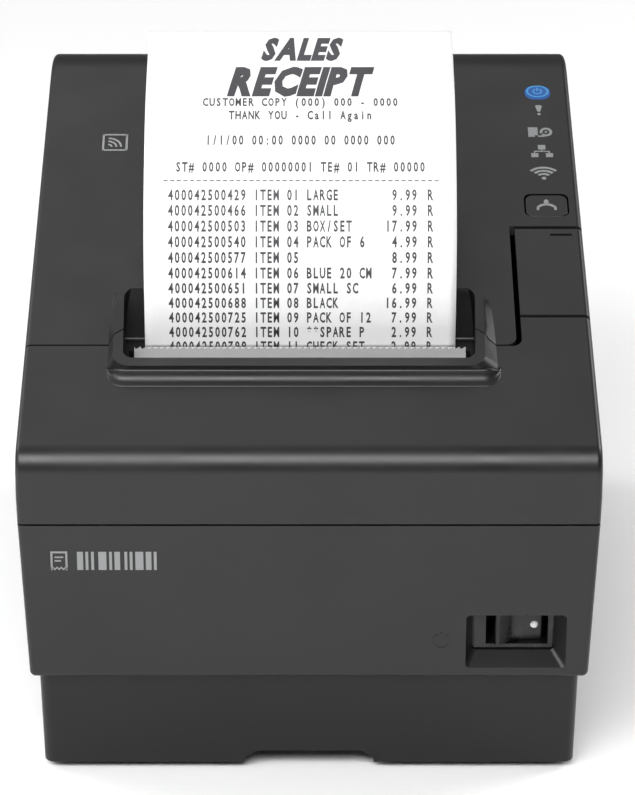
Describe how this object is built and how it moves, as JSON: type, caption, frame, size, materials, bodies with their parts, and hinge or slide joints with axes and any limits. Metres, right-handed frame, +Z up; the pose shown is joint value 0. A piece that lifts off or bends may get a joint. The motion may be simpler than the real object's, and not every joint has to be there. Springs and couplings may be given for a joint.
{
  "type": "receipt printer",
  "caption": "Compact top-exit thermal receipt printer with opening roll cover, sliding cutter cover, tear bar and a receipt standing in the slot.",
  "frame": {"origin": "under the middle of the printer's outline, on the plane of the feet", "axes": "+X to the printer's right seen from the front, +Y to the rear, +Z up; the front with the switch faces -Y"},
  "size_m": [0.145, 0.195, 0.1698],
  "materials": {
    "case_plastic": "charcoal ABS with a fine spark-eroded grain",
    "plinth_plastic": "charcoal ABS, fine grain",
    "black_plastic": "black moulded nylon",
    "gloss_black": "polished black",
    "lens": "translucent blue lens",
    "foot_rubber": "matte black rubber",
    "platen_rubber": "fine-ground rubber",
    "sheet_steel": "zinc-plated sheet",
    "blade_steel": "ground tool steel",
    "shaft_steel": "ground bright shaft",
    "screw_steel": "zinc-plated",
    "spring_steel": "spring wire",
    "heat_sink": "extruded, plain",
    "ceramic": "glazed alumina",
    "acetal": "natural acetal",
    "bronze": "sintered bronze",
    "motor_can": "plated motor can",
    "board_green": "green solder mask on glass board",
    "chip_black": "moulded epoxy",
    "cable_film": "flat cable film",
    "port_shell": "plated connector shell",
    "paper": "smooth white thermal paper",
    "board_core": "spiral-wound core"
  },
  "bodies": {
    "case": {"base_tray": "plinth_plastic", "main_case": "case_plastic", "rubber_feet": "foot_rubber", "hinge_pins": "shaft_steel", "chassis_frame": "sheet_steel", "chassis_screws": "screw_steel", "case_screws": "screw_steel", "board_screws": "screw_steel", "board_components": "chip_black", "main_board": "board_green", "port_board": "board_green", "rear_panel": "sheet_steel", "dc_inlet": "black_plastic", "usb_port": "port_shell", "ethernet_port": "port_shell", "drawer_port": "black_plastic", "head_pivot_shaft": "shaft_steel", "spring_seat": "sheet_steel", "head_springs": "spring_steel", "head_cable": "cable_film", "feed_motor": "motor_can", "gear_studs": "shaft_steel", "gear_plate": "sheet_steel", "lock_spring": "spring_steel", "spring_anchor": "sheet_steel", "lever_pin": "shaft_steel", "lever_bracket": "black_plastic", "cutter_frame": "sheet_steel", "cutter_motor": "motor_can", "tear_bar": "blade_steel", "roll_holder": "black_plastic", "paper_sensor": "black_plastic", "switch_housing": "gloss_black", "paper_web": "paper"},
    "roll_cover": {"roll_cover": "case_plastic", "platen_bushings": "bronze", "platen_frame": "sheet_steel", "fixed_blade": "blade_steel", "panel_board": "board_green", "power_lens": "lens", "cover_screws": "screw_steel"},
    "cutter_cover": {"cutter_cover": "case_plastic"},
    "open_lever": {"open_lever": "case_plastic"},
    "lock": {"lock_shaft": "shaft_steel", "lock_hooks": "sheet_steel"},
    "feed_button": {"feed_button": "case_plastic"},
    "power_rocker": {"power_rocker": "gloss_black"},
    "platen": {"platen_roller": "platen_rubber", "platen_shaft": "shaft_steel", "platen_gear": "acetal"},
    "reduction_gear": {"reduction_gear": "acetal"},
    "motor_pinion": {"motor_pinion": "bronze"},
    "paper_roll": {"paper_roll": "paper", "roll_core": "board_core"},
    "cutter_blade": {"cutter_blade": "blade_steel"},
    "cutter_gear": {"cutter_gear": "acetal"},
    "cutter_pinion": {"cutter_pinion": "bronze"},
    "print_head": {"thermal_head": "ceramic", "head_bracket": "heat_sink"},
    "receipt": {"receipt": "paper"}
  },
  "joints": [
    {"name": "roll_cover_hinge", "type": "hinge", "parent": "case", "child": "roll_cover", "pos_m": [0, 0.0915, 0.068], "axis": [-1, 0, 0], "range_deg": [0, 95]},
    {"name": "cutter_cover_slide", "type": "slide", "parent": "case", "child": "cutter_cover", "axis": [0, -1, 0], "range_m": [0, 0.018]},
    {"name": "open_lever_pivot", "type": "hinge", "parent": "case", "child": "open_lever", "pos_m": [0, -0.0452, 0.10615], "axis": [1, 0, 0], "range_deg": [0, 10], "stiffness_Nm_per_rad": 0.03},
    {"name": "lock_pivot", "type": "hinge", "parent": "case", "child": "lock", "pos_m": [0, -0.0695, 0.068], "axis": [1, 0, 0], "range_deg": [0, 3]},
    {"name": "feed_button_press", "type": "hinge", "parent": "roll_cover", "child": "feed_button", "pos_m": [0, -0.01499, 0.12052], "axis": [-1, 0, 0], "range_deg": [0, 3], "stiffness_Nm_per_rad": 0.05},
    {"name": "power_rocker_pivot", "type": "hinge", "parent": "case", "child": "power_rocker", "pos_m": [0.0531, -0.0885, 0.04005], "axis": [0, 0, -1], "range_deg": [0, 16]},
    {"name": "platen_spin", "type": "hinge", "parent": "roll_cover", "child": "platen", "pos_m": [0, -0.0465, 0.084], "axis": [-1, 0, 0], "continuous": true},
    {"name": "reduction_gear_spin", "type": "hinge", "parent": "case", "child": "reduction_gear", "pos_m": [0, -0.0515, 0.063], "axis": [-1, 0, 0], "continuous": true},
    {"name": "motor_pinion_spin", "type": "hinge", "parent": "case", "child": "motor_pinion", "pos_m": [0, -0.0621, 0.05155], "axis": [-1, 0, 0], "continuous": true},
    {"name": "paper_roll_spin", "type": "hinge", "parent": "case", "child": "paper_roll", "pos_m": [0, 0.0305, 0.08], "axis": [-1, 0, 0], "continuous": true},
    {"name": "cutter_blade_slide", "type": "slide", "parent": "case", "child": "cutter_blade", "axis": [0, 1, 0], "range_m": [0, 0.01]},
    {"name": "cutter_gear_spin", "type": "hinge", "parent": "case", "child": "cutter_gear", "pos_m": [-0.02, -0.0705, 0.0867], "axis": [0, 0, 1], "range_deg": [0, 180]},
    {"name": "cutter_pinion_spin", "type": "hinge", "parent": "case", "child": "cutter_pinion", "pos_m": [-0.02463, -0.0835, 0.0867], "axis": [0, 0, 1], "range_deg": [-650, 0]},
    {"name": "head_pivot", "type": "hinge", "parent": "case", "child": "print_head", "pos_m": [0, -0.0471, 0.0596], "axis": [1, 0, 0], "range_deg": [0, 2.5], "stiffness_Nm_per_rad": 2, "deforming": ["head_springs"]},
    {"name": "receipt_flop", "type": "hinge", "parent": "case", "child": "receipt", "pos_m": [0, -0.054, 0.1011], "axis": [1, 0, 0], "range_deg": [0, 34]}
  ],
  "couplings": [
    {"joint": "lock_pivot", "follows": "open_lever_pivot", "ratio": 0.25},
    {"joint": "reduction_gear_spin", "follows": "platen_spin", "ratio": -0.8},
    {"joint": "motor_pinion_spin", "follows": "platen_spin", "ratio": 2.6667},
    {"joint": "paper_roll_spin", "follows": "platen_spin", "ratio": 0.18421},
    {"joint": "cutter_gear_spin", "follows": "cutter_blade_slide", "rad_per_m": 314.16},
    {"joint": "cutter_pinion_spin", "follows": "cutter_blade_slide", "rad_per_m": -1131},
    {"joint": "receipt_flop", "follows": "roll_cover_hinge", "ratio": 0.35}
  ]
}
